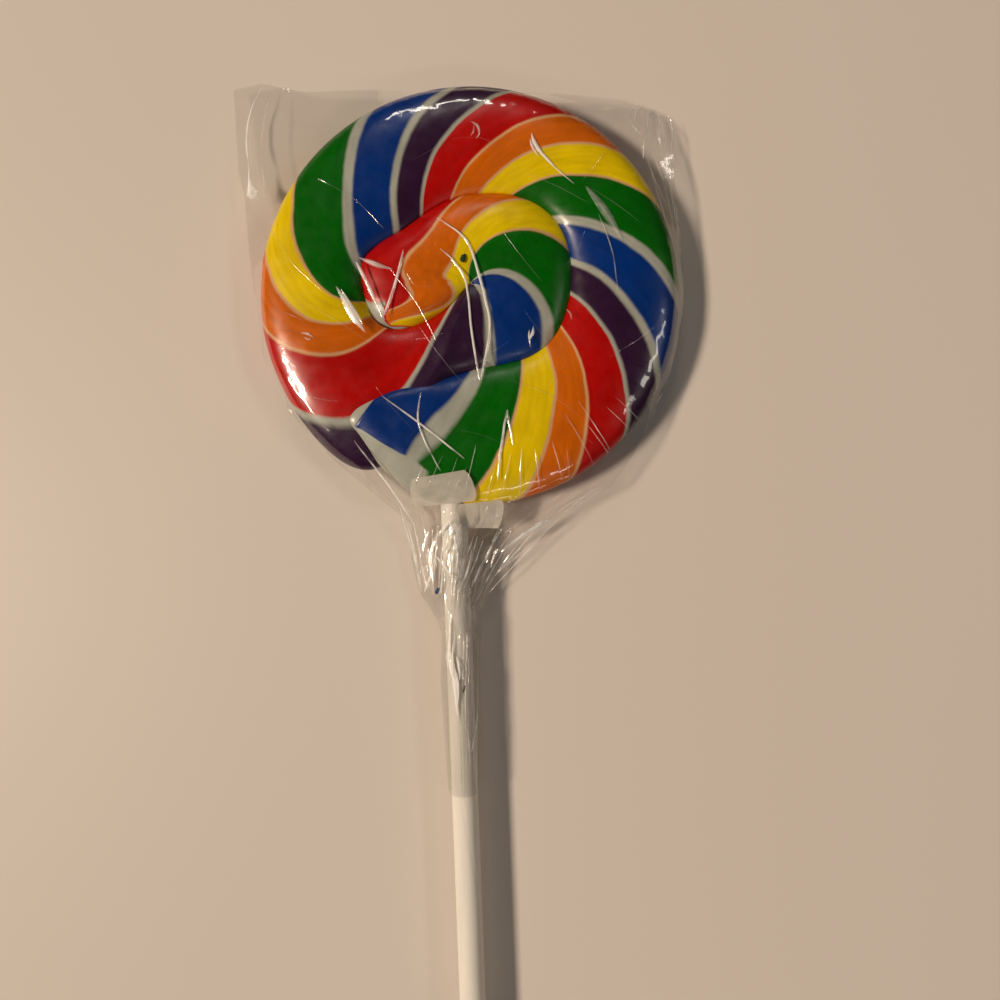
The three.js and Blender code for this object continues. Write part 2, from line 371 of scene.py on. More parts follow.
def rope_rings():
    """Rings of points round the rope, and how far round its girth each point is."""
    stations = rope_stations()
    places = np.linspace(0, len(stations) - 1, (len(stations) - 1) * RINGS_PER_STATION + 1)
    fine = through(stations, places)
    inner, outer = fine[:, 0:2], fine[:, 2:4]
    thick, lift = fine[:, 4:5], fine[:, 5:6]
    inner_edge, outer_edge = np.minimum(fine[:, 6:7], FREE), np.minimum(fine[:, 7:8], FREE)
    first = np.arccos(outer_edge ** (SQUARENESS / 2))
    last = np.pi - np.arccos(inner_edge ** (SQUARENESS / 2))
    phi = first + (last - first) * np.linspace(0, 1, ARCH_STEPS + 1)[None]
    side = np.sign(np.cos(phi)) * np.abs(np.cos(phi)) ** (2 / SQUARENESS)
    height = HALF_CANDY * thick * np.sin(phi) ** (2 / SQUARENESS)
    share = (outer_edge - side) / (outer_edge + inner_edge)
    flat = outer[:, None] + (inner - outer)[:, None] * share[..., None]
    floor_z, roof_z = MID_Z - HALF_CANDY, MID_Z + HALF_CANDY
    top = np.clip(MID_Z + lift + height, floor_z, roof_z)
    bottom = np.clip(MID_Z + lift - height, floor_z, roof_z)
    rings = np.concatenate(
        [np.dstack([flat, top]), np.dstack([flat, bottom])[:, ::-1]], axis=1
    )
    steps = np.linalg.norm(np.diff(rings, axis=1, append=rings[:, :1]), axis=2)
    girth = np.concatenate([np.zeros((len(rings), 1)), np.cumsum(steps, 1)], 1)
    girth += steps[:, -1:] / 2  # it is counted from halfway down the outer edge
    return places, rings, girth / steps.sum(1)[:, None], (inner + outer) / 2


def twist_along(places, middle):
    """How often the rope has twisted by each ring: its length so far over its lay."""
    rate = np.full(len(places), 1 / LAYS[0][1])
    for (_, before), (start, lay) in zip(LAYS, LAYS[1:]):
        rate += (1 / lay - 1 / before) * smoothstep(start - LAY_BLEND, start + LAY_BLEND, places)
    lengths = np.linalg.norm(np.diff(middle, axis=0), axis=1)
    return START_TWIST + np.concatenate([[0], np.cumsum(lengths * (rate[1:] + rate[:-1]) / 2)])


def twist_phase(places, girth, middle):
    """Which colour each point has: whole numbers are where red starts."""
    along = twist_along(places, middle)
    top = np.interp(places, TOP_TWISTS[:, 0], TOP_TWISTS[:, 1])[:, None]
    round_it = np.where(girth < 0.5, 2 * top * girth, 1 - (1 - girth) * 2 * (1 - top))
    phase = along[:, None] + round_it
    at = places[:, None]
    from_edge = np.minimum(girth, np.abs(1 - girth))

    off_white = phase - TAIL_TURNS - WHITE_BEFORE_BLUE
    spread = smoothstep(*SPREAD_STATIONS, at) * np.exp(-((off_white / SPREAD_REACH) ** 2))
    phase = phase - SPREAD * spread * off_white
    phase = phase + (TAIL_TURNS + BLUE_MIDDLE - phase) * smoothstep(*TAIL_STATIONS, at)
    edge = smoothstep(*TAIL_EDGE, from_edge) * smoothstep(*TAIL_EDGE_STATIONS, at)
    white = np.maximum(edge, smoothstep(*TAIL_TIP_STATIONS, at))
    phase = phase + (TAIL_TURNS + WHITE_BEFORE_BLUE - phase) * white

    phase = phase + START_BEND * smoothstep(*START_BEND_STATIONS, at)
    edge = smoothstep(*START_EDGE, from_edge) * smoothstep(*START_EDGE_STATIONS, at)
    white = np.maximum(edge, smoothstep(*START_TIP_STATIONS, at))
    return phase + (WHITE_BEFORE_RED - 1 - phase) * white


def relief(rings, phase):
    """The strands bulge a little between the lines where they meet, and the sugar is uneven."""
    gap = np.abs((phase[:, :-1, None] % 1) - band_starts()[None, None])
    gap = np.minimum(gap, 1 - gap).min(axis=2)
    groove = GROOVE * np.exp(-((gap / GROOVE_WIDTH) ** 2))
    x, y = rings[..., 0], rings[..., 1]
    lumps = np.zeros_like(x)
    for size, depth, seed in LUMPS:
        lumps += depth * (lattice_noise(x / size + 40, y / size + 40, seed) - 0.5)
    shaped = rings.copy()
    side = np.sign(rings[..., 2] - MID_Z)
    inward = np.clip(np.abs(rings[..., 2] - MID_Z) / HALF_CANDY, 0, 1)
    shaped[..., 2] -= side * inward * (groove + np.maximum(lumps + 0.08, 0) * 0.8)
    return shaped


def candy_material():
    n = Nodes("boiled_sugar")
    uv = n.add("ShaderNodeUVMap", uv_map="twist")
    split = n.add("ShaderNodeSeparateXYZ")
    n.join(uv.outputs[0], split.inputs[0])
    wander = n.math("MULTIPLY", n.math("SUBTRACT", n.noise(75, 2), 0.5), 0.03)
    ragged = n.math("MULTIPLY", n.math("SUBTRACT", n.noise(700, 2), 0.5), 0.004)
    phase = n.math("ADD", n.math("ADD", split.outputs[0], wander), ragged)
    phase = n.math("FRACT", phase)
    ramp = n.add("ShaderNodeValToRGB")
    ramp.color_ramp.interpolation = "LINEAR"
    elements = ramp.color_ramp.elements
    while len(elements) > 1:
        elements.remove(elements[-1])
    colours = [colour for colour, _ in STRANDS]
    elements[0].position, elements[0].color = 0.0, colours[0]
    for start, before, after in zip(band_starts()[1:], colours, colours[1:]):
        blur = 0.006 if WHITE in (before, after) else 0.003
        elements.new(start - blur).color = before
        elements.new(start + blur).color = after
    elements.new(0.994).color = colours[-1]
    elements.new(1.0).color = colours[0]
    n.join(phase, ramp.inputs[0])

    # Pulled sugar keeps fine streaks along its strands, and drifts a little in strength.
    stretch = n.add("ShaderNodeCombineXYZ")
    n.join(n.math("MULTIPLY", split.outputs[0], 46.0), stretch.inputs[0])
    n.join(n.math("MULTIPLY", split.outputs[1], 1.3), stretch.inputs[1])
    streaks = n.noise(1.0, 3, vector=stretch.outputs[0])
    cloud = n.noise(130, 2)
    strength = n.math("ADD", n.math("MULTIPLY", streaks, 0.50), n.math("MULTIPLY", cloud, 0.45))
    strength = n.math("ADD", strength, 0.52)
    tint = n.add("ShaderNodeMix", data_type="RGBA", blend_type="MULTIPLY")
    tint.inputs["Factor"].default_value = 1.0
    n.join(ramp.outputs[0], tint.inputs["A"])
    n.join(strength, tint.inputs["B"])

    shader = n.add("ShaderNodeBsdfPrincipled", in_Roughness=0.16, in_IOR=1.5)
    shader.inputs["Subsurface Weight"].default_value = 0.10
    shader.inputs["Subsurface Radius"].default_value = (1.0, 0.6, 0.4)
    shader.inputs["Subsurface Scale"].default_value = 0.0009
    n.join(tint.outputs["Result"], shader.inputs["Base Color"])
    rough = n.math("ADD", n.math("MULTIPLY", n.noise(420, 3), 0.3), 0.16)
    n.join(rough, shader.inputs["Roughness"])

    # Tiny bubbles and dents.
    cells = n.add("ShaderNodeTexVoronoi", feature="F1", in_Scale=520.0, in_Randomness=1.0)
    n.join(n.add("ShaderNodeTexCoord").outputs["Object"], cells.inputs["Vector"])
    pit = n.math("LESS_THAN", cells.outputs["Distance"], 0.13)
    rare = n.math("GREATER_THAN", n.noise(240, 1), 0.60)
    pits = n.math("MULTIPLY", n.math("MULTIPLY", pit, rare), -0.6)
    ripple = n.math("MULTIPLY", n.noise(330, 3), 0.45)
    bump = n.add("ShaderNodeBump", in_Strength=0.35, in_Distance=0.00012)
    n.join(n.math("ADD", pits, ripple), bump.inputs["Height"])
    n.join(bump.outputs[0], shader.inputs["Normal"])
    n.join(shader.outputs[0], n.out.inputs[0])
    return n.material


def make_candy():
    """The rope's skin, with each corner's place in the twist and along the rope as its UV."""
    places, rings, girth, middle = rope_rings()
    phase = twist_phase(places, girth, middle)
    shaped = relief(rings, phase)
    rows, columns = shaped.shape[:2]
    faces = grid_faces(rows, columns, closed=True, flip=True)
    caps = [tuple(range(columns)), tuple(range((rows - 1) * columns, rows * columns))[::-1]]
    candy = mesh_object("candy_rope", shaped.reshape(-1, 3), faces + caps, candy_material())
    # Each corner of a face keeps its own phase, so that the girth can close on itself.
    corner = np.arange(columns)
    uv = []
    for r in range(rows - 1):
        low = np.stack([phase[r, :-1], np.full(columns, places[r])], 1)
        low_next = np.stack([phase[r, 1:], np.full(columns, places[r])], 1)
        high = np.stack([phase[r + 1, :-1], np.full(columns, places[r + 1])], 1)
        high_next = np.stack([phase[r + 1, 1:], np.full(columns, places[r + 1])], 1)
        uv.append(np.stack([high, high_next, low_next, low], 1).reshape(-1, 2))
    for r in (0, rows - 1):
        order = corner if r == 0 else corner[::-1]
        uv.append(np.stack([phase[r, order], np.full(columns, places[r])], 1))
    layer = candy.data.uv_layers.new(name="twist")
    layer.data.foreach_set("uv", np.concatenate(uv).ravel())
    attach(candy, "root")
    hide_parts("candy")


# ---------------------------------------------------------------- the stick

def stick_material():
    n = Nodes("rolled_paper")
    shader = n.add("ShaderNodeBsdfPrincipled", in_Roughness=0.55)
    shader.inputs["Specular IOR Level"].default_value = 0.35
    shader.inputs["Subsurface Weight"].default_value = 0.5
    shader.inputs["Subsurface Radius"].default_value = (1.0, 0.9, 0.8)
    shader.inputs["Subsurface Scale"].default_value = 0.002
    fibres = n.add("ShaderNodeMapping")
    fibres.inputs["Scale"].default_value = (900, 60, 900)
    n.join(n.add("ShaderNodeTexCoord").outputs["Object"], fibres.inputs["Vector"])
    grain = n.noise(1.0, 4, vector=fibres.outputs[0])
    ramp = n.add("ShaderNodeValToRGB")
    ramp.color_ramp.elements[0].color = linear(222, 217, 207)
    ramp.color_ramp.elements[1].color = linear(244, 241, 235)
    n.join(grain, ramp.inputs[0])
    n.join(ramp.outputs[0], shader.inputs["Base Color"])
    bump = n.add("ShaderNodeBump", in_Strength=0.25, in_Distance=0.00005)
    n.join(grain, bump.inputs["Height"])
    n.join(bump.outputs[0], shader.inputs["Normal"])
    n.join(shader.outputs[0], n.out.inputs[0])
    return n.material


STICK_SIDES, STICK_RINGS = 72, 240
STICK_BEVEL = 0.4
SEAM_LAY, SEAM_DEPTH, SEAM_WIDTH = 95, 0.035, 0.010  # mm to a turn, mm, and share of the girth


def make_stick():
    """Rolled paper: round, with the roll's shallow seam winding down it and pressed ends."""
    ends = np.array([0, 0.10, 0.25, STICK_BEVEL])
    drop = STICK_BEVEL - np.sqrt(np.maximum(STICK_BEVEL**2 - (STICK_BEVEL - ends) ** 2, 0))
    top, low = stick_high[1], stick_low[1]
    ys = np.concatenate([top - ends, np.linspace(top - 1, low + 1, STICK_RINGS), low + ends[::-1]])
    shrink = np.concatenate([drop, np.zeros(STICK_RINGS), drop[::-1]])[:, None]
    turn = np.arange(STICK_SIDES) / STICK_SIDES * 2 * math.pi
    seam = (turn / (2 * math.pi) + ys[:, None] / SEAM_LAY) % 1
    dent = SEAM_DEPTH * np.exp(-((np.minimum(seam, 1 - seam) / SEAM_WIDTH) ** 2))
    radius = STICK_RADIUS - shrink - dent
    along = np.broadcast_to(ys[:, None], radius.shape)
    vertices = np.stack([STICK_X + radius * np.sin(turn), along, MID_Z + radius * np.cos(turn)], 2)
    rows = len(ys)
    faces = grid_faces(rows, STICK_SIDES, closed=True)
    faces += [tuple(range(STICK_SIDES))[::-1], tuple(range((rows - 1) * STICK_SIDES, rows * STICK_SIDES))]
    stick = mesh_object("paper_stick", vertices.reshape(-1, 3), faces, stick_material())
    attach(stick, "root")
    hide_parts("stick")


# ---------------------------------------------------------------- the bag

# Edges of the bag seen from above. The left and right edges are x at each y.
LEFT_EDGE = np.array([
    (42.0, -43.0), (23.5, -42.0), (19.7, -40.8), (3.1, -39.4), (-10, -38.0), (-20, -33.4), (-28, -26.9),
    (-41, -12.4), (-47.5, -12.8), (-53.8, -11.6), (-56.6, -9.8), (-60.8, -7.5), (-70, -8.0), (-90.3, -7.3),
])
RIGHT_EDGE = np.array([
    (35.5, 36.0), (33.1, 38.1), (29.8, 38.8), (16.7, 38.2), (7.5, 39.0), (-1.7, 39.0), (-9.2, 37.9),
    (-15.4, 36.0), (-20.5, 33.6), (-24.7, 31.7), (-30.1, 28.7), (-36, 24.2), (-41.3, 13.1), (-46.3, 4.7),
    (-48.7, 3.8), (-54.2, 1.4), (-56.4, -0.1), (-70, -0.9), (-90.3, -2.0),
])
# The top edge is y at each share of the way from left to right.
TOP_EDGE = np.array([(0, 41.0), (0.07, 42.0), (0.17, 39.6), (0.68, 36.8), (0.92, 35.6), (1, 34.0)])
TOP_Y = 35.5
TOP_REACH = 22          # how far down the bag its uneven top edge is felt
OUTLINE_BLOCK = 30
TOP_PINCH = (35.0, 34.5)
FILM_OFF = 0.12         # how far the film stays off the candy and the stick
FILM_LOWEST = 0.05
FILM_IOR = 1.5
FILM_SHINE = 1.4        # as light comes off both faces of the film
MARGIN_SAG = 2.6        # how far the bag's margins hang towards the table
SHOULDER = 10.0         # width of the candy's rounded rim
LET_GO = 1.3            # how far inside the rim the film leaves the candy,
STICK_LET_GO = 2.0      # and how far beside the stick's middle it leaves the stick


def edge_x(edge, y):
    return np.interp(-y, -edge[:, 0], edge[:, 1])


def bag_flat(u, y):
    """Where a share u of the way across the bag lies, seen from above."""
    left, right = edge_x(LEFT_EDGE, y), edge_x(RIGHT_EDGE, y)
    x = left + (right - left) * u
    rise = np.interp(u, TOP_EDGE[:, 0], TOP_EDGE[:, 1]) - TOP_Y
    fall = np.clip(1 - (TOP_Y - y) / TOP_REACH, 0, 1)
    return x, y + rise * fall**1.5


def bag_outline():
    """Points close together along the bag's sides and its top edge."""
    ys = np.linspace(TOP_Y, bag_low[1], 240)
    us = np.linspace(0, 1, 90)
    sides = [bag_flat(np.full_like(ys, side), ys) for side in (0.0, 1.0)]
    top = bag_flat(us, np.full_like(us, TOP_Y))
    return np.concatenate([np.stack(s, 1) for s in (*sides, top)])


OUTLINE = bag_outline()


def distance_to_outline(x, y):
    """Distance to the nearest outline point, by a block of points at a time to save memory."""
    flat = np.stack([x.ravel(), y.ravel()], 1)
    best = np.full(len(flat), 1e9)
    for start in range(0, len(OUTLINE), OUTLINE_BLOCK):
        block = OUTLINE[start:start + OUTLINE_BLOCK]
        best = np.minimum(best, ((flat[:, None] - block[None]) ** 2).sum(2).min(1))
    return np.sqrt(best).reshape(x.shape)


def film_heights(x, y):
    """Heights of the upper and the lower film where they're smooth."""
    to_edge = distance_to_outline(x, y)
    from_middle = np.hypot(x, y)
    beyond = np.maximum(from_middle - RIM, 0)
    # The margins sag towards the table, away from the rim.
    sag = smoothstep(1.5, 14, np.minimum(beyond + to_edge, 16)) * (y > -60)
    edge_z = MID_Z - MARGIN_SAG * sag
    edge_z = edge_z + 1.6 * (lattice_noise(x / 14 + 20, y / 14 + 20, 11) - 0.5) * smoothstep(0.5, 6, beyond)

    def shoulder_height(across):
        return HALF_CANDY * (1 - across**SQUARENESS) ** (1 / SQUARENESS)

    tangent = RIM - LET_GO
    shoulder = shoulder_height(np.clip((from_middle - (RIM - SHOULDER)) / SHOULDER, 0, 1))
    tangent_z = shoulder_height((tangent - RIM + SHOULDER) / SHOULDER)
    off = np.maximum(from_middle - tangent, 0)
    share = to_edge / (to_edge + off + 1e-6)
    over_head = np.where(off > 0, tangent_z * share**0.9, np.maximum(shoulder, tangent_z))

    aside = np.abs(x - STICK_X)
    stick_off = np.maximum(aside - STICK_LET_GO, 0)
    stick_share = to_edge / (to_edge + stick_off + 1e-6)
    reach = STICK_RADIUS + 0.2
    bow = np.sqrt(np.maximum(reach**2 - np.minimum(aside, STICK_LET_GO) ** 2, 0))
    over_stick = bow * stick_share**0.8 * smoothstep(RIM - 6, RIM + 3, -y)

    rise = np.maximum(over_head, over_stick)
    middle = np.where(off > 0, edge_z + (MID_Z - edge_z) * share, MID_Z)
    middle = np.where(over_stick > over_head, edge_z + (MID_Z - edge_z) * stick_share, middle)
    upper = middle + rise + FILM_OFF
    lower = np.maximum(middle - rise - FILM_OFF, FILM_LOWEST + 0.01)
    return upper, lower, off


def neck_gathers(u, x, y, slack, seed):
    """Gathers that run down the bag into the neck, close together, and drift sideways as they go."""
    drift = 1.3 * lattice_noise(y / 16 + 50, u * 3 + 10, seed)
    gather = ridged(u * 15 + drift, y / 40 + 30, seed + 1) ** 1.6
    gather += 0.5 * ridged(u * 34 + drift * 2, y / 22 + 30, seed + 2) ** 1.6
    width = np.minimum(edge_x(RIGHT_EDGE, y) - edge_x(LEFT_EDGE, y), 45)
    height = 0.034 * width * gather * smoothstep(-26, -40, y) * (0.10 + 0.90 * slack)
    return height * np.clip(u * (1 - u) * 12, 0, 1)


def corner_rays(x, y, slack, seed):
    """Creases that run out from the pinched top corner."""
    px, py = x - TOP_PINCH[0], y - TOP_PINCH[1]
    far = np.hypot(px, py)
    rays = ridged(np.arctan2(py, px) * 5.5 + 20, far / 14 + 8, seed) ** 1.7
    return 0.11 * np.minimum(far, 9) * rays * np.exp(-far / 9) * slack * 1.3


def rim_ripples(x, y, seed):
    """The film doesn't follow the rounded rim evenly."""
    near_rim = np.exp(-(((np.hypot(x, y) - RIM + 3) / 4.0) ** 2))
    uneven = lattice_noise(x / 2.4 + 60, y / 2.4 + 60, seed)
    uneven = uneven + 0.6 * lattice_noise(x / 1.1 + 60, y / 1.1 + 60, seed + 1)
    return 0.17 * uneven * near_rim


def film_wrinkles(u, x, y, off, seed):
    """All the film's soft wrinkles: gathers, corner, slack swells, tight creases and rim."""
    slack = smoothstep(0.0, 5.0, off)
    height = neck_gathers(u, x, y, slack, seed)
    height += corner_rays(x, y, slack, seed + 3)
    swell = lattice_noise(x / 6 + 40, y / 9 + 40, seed + 4) - 0.5
    height += 0.55 * swell * slack * smoothstep(-40, -28, y)
    tight = ridged((x + 0.6 * y) / 9 + 30, (y - 0.4 * x) / 30 + 30, seed + 5) ** 6
    height += 0.10 * tight * (1 - slack)
    return height + rim_ripples(x, y, seed + 6)


def film_material(name, roughness, cloud=None):
    """Clear film with a mirror-like shine. cloud(n) gives how white its creases are, partly the film's own
    whitening and partly a painted highlight.
    """
    n = Nodes(name)
    clear = n.add("ShaderNodeBsdfTransparent")
    # Where the film is gathered round the stick it lies several layers deep.
    place = n.add("ShaderNodeSeparateXYZ")
    n.join(n.add("ShaderNodeTexCoord").outputs["Object"], place.inputs[0])
    depth = n.add("ShaderNodeMapRange")
    for socket, value in zip(depth.inputs[1:5], (-0.040, -0.056, 0.985, 0.90)):
        socket.default_value = value
    n.join(place.outputs[1], depth.inputs[0])
    through_it = n.add("ShaderNodeCombineColor")
    for socket in through_it.inputs:
        n.join(depth.outputs[0], socket)
    n.join(through_it.outputs[0], clear.inputs[0])
    gloss = n.add("ShaderNodeBsdfGlossy", in_Roughness=roughness)
    gloss.inputs[0].default_value = (1, 1, 1, 1)
    # Seen from behind the film has to be as clear as from the front.
    behind = n.add("ShaderNodeNewGeometry").outputs["Backfacing"]
    index = n.math("ADD", n.math("MULTIPLY", behind, 1 / FILM_IOR - FILM_IOR), FILM_IOR)
    fresnel = n.add("ShaderNodeFresnel")
    n.join(index, fresnel.inputs["IOR"])
    ripple = n.noise(260, 3)
    bump = n.add("ShaderNodeBump", in_Strength=0.30, in_Distance=0.0003)
    n.join(ripple, bump.inputs["Height"])
    n.join(bump.outputs[0], gloss.inputs["Normal"])
    both_sides = n.math("MULTIPLY", fresnel.outputs[0], FILM_SHINE, clamp=True)
    shine = n.add("ShaderNodeMixShader")
    n.join(both_sides, shine.inputs[0])
    n.join(clear.outputs[0], shine.inputs[1])
    n.join(gloss.outputs[0], shine.inputs[2])
    if cloud is None:
        n.join(shine.outputs[0], n.out.inputs[0])
        return n.material
    # The white on the creases is partly the film's own whitening and partly a painted highlight, bright
    # from any side.
    white = n.add("ShaderNodeBsdfDiffuse")
    white.inputs[0].default_value = (0.95, 0.94, 0.92, 1)
    painted_highlight_veil = n.add("ShaderNodeMixShader")
    n.join(cloud(n), painted_highlight_veil.inputs[0])
    n.join(shine.outputs[0], painted_highlight_veil.inputs[1])
    n.join(white.outputs[0], painted_highlight_veil.inputs[2])
    n.join(painted_highlight_veil.outputs[0], n.out.inputs[0])
    return n.material


def crease_whitening_and_painted_highlight(n):
    """Film goes white where it's folded, partly as its own whitening and partly as a painted highlight:
    most along the crest, and unevenly down its length.
    """
    uv = n.add("ShaderNodeUVMap", uv_map="fold")
    split = n.add("ShaderNodeSeparateXYZ")
    n.join(uv.outputs[0], split.inputs[0])
    aside = n.math("ABSOLUTE", split.outputs[0])
    crest = n.math("MULTIPLY", n.math("SUBTRACT", 1.0, aside, clamp=True), 1.7, clamp=True)
    patchy = n.math("ADD", n.math("MULTIPLY", n.noise(330, 3), 2.0), -0.35, clamp=True)
    cloud = n.math("MULTIPLY", n.math("MULTIPLY", crest, patchy), split.outputs[1])
    return n.math("MINIMUM", cloud, 0.82)


def bag_rows(head_step, neck_step):
    """The y of each row of the film, closer together in the neck."""
    head = np.arange(TOP_Y, -34, -head_step)
    neck = np.arange(-34, bag_low[1], -neck_step)
    return np.concatenate([head, neck, [bag_low[1]]])


def make_film(material):
    """The two sides of the bag. The one that shows is the finer."""
    for name, rows, columns, upper_side in (
        ("film_front", bag_rows(0.55, 0.32), 290, True),
        ("film_back", bag_rows(1.2, 0.8), 110, False),
    ):
        u, y_row = np.meshgrid(np.linspace(0, 1, columns), rows)
        x, y = bag_flat(u, y_row)
        upper, lower, off = film_heights(x, y)
        if upper_side:
            z = upper + film_wrinkles(u, x, y, off, FRONT_SEED)
        else:
            z = np.maximum(lower - 0.5 * film_wrinkles(u, x, y, off, BACK_SEED), FILM_LOWEST)
        vertices = np.dstack([x, y, z]).reshape(-1, 3)
        film = mesh_object(name, vertices, grid_faces(*x.shape, flip=not upper_side), material)
        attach(film, "root")
        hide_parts("wrapper")


def film_top(x, y):
    """Height of the upper film, with its wrinkles, over any place on the bag."""
    left, right = edge_x(LEFT_EDGE, y), edge_x(RIGHT_EDGE, y)
    u = np.clip((x - left) / (right - left), 0, 1)
    upper, _, off = film_heights(x, y)
    return upper + film_wrinkles(u, x, y, off, FRONT_SEED)


# Sharp folds in the upper film: how white the fold is, partly whitened film and partly a painted highlight,
# then the places that it runs through as x, y and half its width. A wide place is a facet that lies open to
# the light.
FOLDS = [
    # The left flap.
    (1.3, [(-37.2, 41.2, 0.15), (-39.4, 36.0, 0.2), (-40.2, 31.0, 0.3), (-39.8, 26.0, 0.2)]),
    (1.5, [(-39.8, 27.0, 0.15), (-39.7, 23.0, 0.4), (-39.2, 20.4, 1.9), (-39.4, 19.6, 0.8)]),
    (0.4, [(-35.5, 40.0, 0.25), (-37.2, 30.0, 0.25), (-36.6, 20.0, 0.3)]),
    # Over the start of the rope.
    (1.6, [(-23.5, 1.8, 0.3), (-21.6, -1.6, 1.0), (-20.0, -4.6, 0.85), (-18.6, -6.8, 0.2)]),
    (1.0, [(-22.6, 1.2, 0.2), (-20.7, -2.2, 0.35), (-19.0, -5.2, 0.2)]),
    (1.3, [(-19.8, 6.0, 0.5), (-17.8, 1.6, 0.5), (-15.4, -4.3, 0.3)]),
    (1.3, [(-11.3, 7.8, 0.3), (-13.0, 1.8, 0.4), (-15.4, -4.3, 0.4)]),
    (0.9, [(-19.4, 6.7, 0.2), (-16.4, 5.3, 0.7), (-13.2, 4.2, 0.2)]),
    # The two loops over the eye.
    (1.6, [(-5.2, 13.2, 0.3), (-1.5, 10.4, 0.3), (0.6, 7.4, 0.35), (2.9, -1.8, 0.35), (3.4, -7.1, 0.4),
           (1.5, -15.8, 0.5)]),
    (1.4, [(-4.8, 7.6, 0.3), (-2.2, 5.0, 0.3), (-0.4, 1.0, 0.3), (0.3, -8.0, 0.35), (1.3, -15.8, 0.4)]),
    # Small bright facets.
    (0.8, [(1.4, 30.0, 0.15), (2.6, 29.2, 0.4), (2.9, 27.8, 0.25), (2.2, 26.8, 0.1)]),
    (0.6, [(2.0, 29.6, 0.1), (1.9, 28.2, 0.25), (1.2, 27.2, 0.1)]),
    (1.6, [(12.1, 27.6, 0.2), (12.5, 26.0, 0.55), (13.8, 23.9, 0.45), (16.4, 20.9, 0.25),
           (19.5, 18.1, 0.15)]),
    (0.9, [(11.8, 26.6, 0.15), (12.2, 25.0, 0.4), (13.4, 23.2, 0.2)]),
    (0.6, [(-30.2, -6.3, 0.15), (-28.9, -6.5, 0.35), (-27.6, -7.3, 0.15)]),
    (0.5, [(-29.6, -7.0, 0.1), (-28.8, -7.5, 0.25), (-28.2, -7.4, 0.1)]),
    (0.9, [(11.2, -6.6, 0.15), (11.0, -7.9, 0.45), (10.4, -9.0, 0.3), (10.6, -10.2, 0.15)]),
    (0.7, [(10.5, -7.2, 0.1), (10.3, -8.2, 0.25), (10.2, -9.2, 0.1)]),
    (0.4, [(17.0, -3.8, 0.15), (17.8, -4.7, 0.3), (18.0, -5.9, 0.15)]),
    # The right side of the head.
    (0.35, [(21.4, 17.8, 0.6), (24.8, 13.0, 1.1), (27.5, 7.9, 0.6)]),
    (0.4, [(23.5, 12.8, 0.2), (25.6, 6.2, 0.2), (26.4, -1.2, 0.2)]),
    # Towards the neck.
    (1.1, [(-16.3, -17.9, 0.25), (-8.6, -24.0, 0.3), (-1.8, -29.8, 0.3)]),
    (1.1, [(-9.2, -17.6, 0.25), (-9.9, -22.2, 0.3), (-8.8, -26.4, 0.3), (-6.2, -31.8, 0.25)]),
    (1.0, [(-21.5, -25.6, 0.25), (-16.0, -33.6, 0.3), (-11.7, -41.2, 0.35)]),
    (1.4, [(6.0, -21.2, 0.4), (4.6, -28.0, 0.35), (3.8, -34.0, 0.3)]),
    (0.6, [(6.0, -21.2, 0.3), (6.8, -27.8, 0.25)]),
    (1.4, [(13.4, -41.0, 0.4), (9.0, -43.4, 0.8), (4.1, -46.6, 0.3)]),
    (1.4, [(-5.1, -40.5, 0.4), (-7.4, -43.5, 0.3)]),
    (1.6, [(-5.1, -40.5, 0.4), (-4.1, -44.4, 0.4), (-3.7, -51.2, 0.35)]),
    (1.4, [(-8.0, -46.8, 0.3), (-6.0, -49.4, 0.4), (-4.0, -52.0, 0.3)]),
    (1.4, [(-8.7, -49.8, 0.4), (-10.6, -53.8, 0.3)]),
    # The sleeve on the stick.
    (2.0, [(-5.9, -56.5, 0.2), (-5.8, -60.0, 0.35), (-6.1, -65.2, 0.6), (-5.3, -69.6, 0.8),
           (-5.0, -77.1, 0.2)]),
    (2.0, [(-5.3, -62.0, 0.2), (-5.5, -66.5, 0.45), (-4.7, -70.5, 0.35), (-5.0, -74.5, 0.2)]),
    (1.8, [(-4.9, -65.0, 0.15), (-4.2, -67.6, 0.5), (-4.4, -69.4, 0.2)]),
    (0.8, [(-6.8, -63.6, 0.12), (-6.5, -67.4, 0.2)]),
    (0.9, [(-1.3, -75.0, 0.25), (-2.0, -79.0, 0.3), (-2.9, -83.2, 0.25)]),
    # The top corner.
    (0.9, [(33.0, 34.9, 0.2), (31.6, 34.2, 0.3), (30.3, 33.1, 0.3)]),
    (0.8, [(33.3, 34.7, 0.2), (31.8, 33.0, 0.3), (31.3, 30.6, 0.2)]),
    (0.8, [(34.4, 34.5, 0.15), (33.9, 31.0, 0.2), (33.1, 28.0, 0.2)]),
    (1.0, [(33.1, 28.0, 0.15), (32.6, 25.4, 0.35), (32.3, 23.2, 0.2)]),
    (0.5, [(29.5, 32.6, 0.12), (31.3, 29.4, 0.15), (32.3, 28.2, 0.3)]),
    (0.35, [(34.8, 34.4, 0.12), (34.9, 31.4, 0.15), (33.8, 26.4, 0.15)]),
    (0.25, [(38.0, 33.0, 0.2), (38.6, 30.0, 0.3), (37.6, 20.0, 0.3), (37.4, 14.0, 0.2)]),
]
FOLD_WIDEN = 0.78   # overall width of the folds
FOLD_SLOPE = 0.46   # rise of a fold's flanks, which is what turns them to the lamp
FOLD_STEP = 0.35    # mm between the rings of a fold
FOLD_LEAST = 0.09   # mm, the least half width
# A fold's section: how far aside each of its points is, and how high.
FOLD_ACROSS = np.array([-1.0, -0.9, -0.1, 0.0, 0.1, 0.9, 1.0])
FOLD_CREST = np.array([0.0, 0.1, 0.92, 0.96, 0.92, 0.1, 0.0])
NECK_FOLDS = 26
CORNER_FOLDS = 9
HEAD_FOLDS = 26
BOTTOM_FOLDS = 16
SLEEVE_FOLDS = 12
FRONT_SEED, BACK_SEED = 60, 80


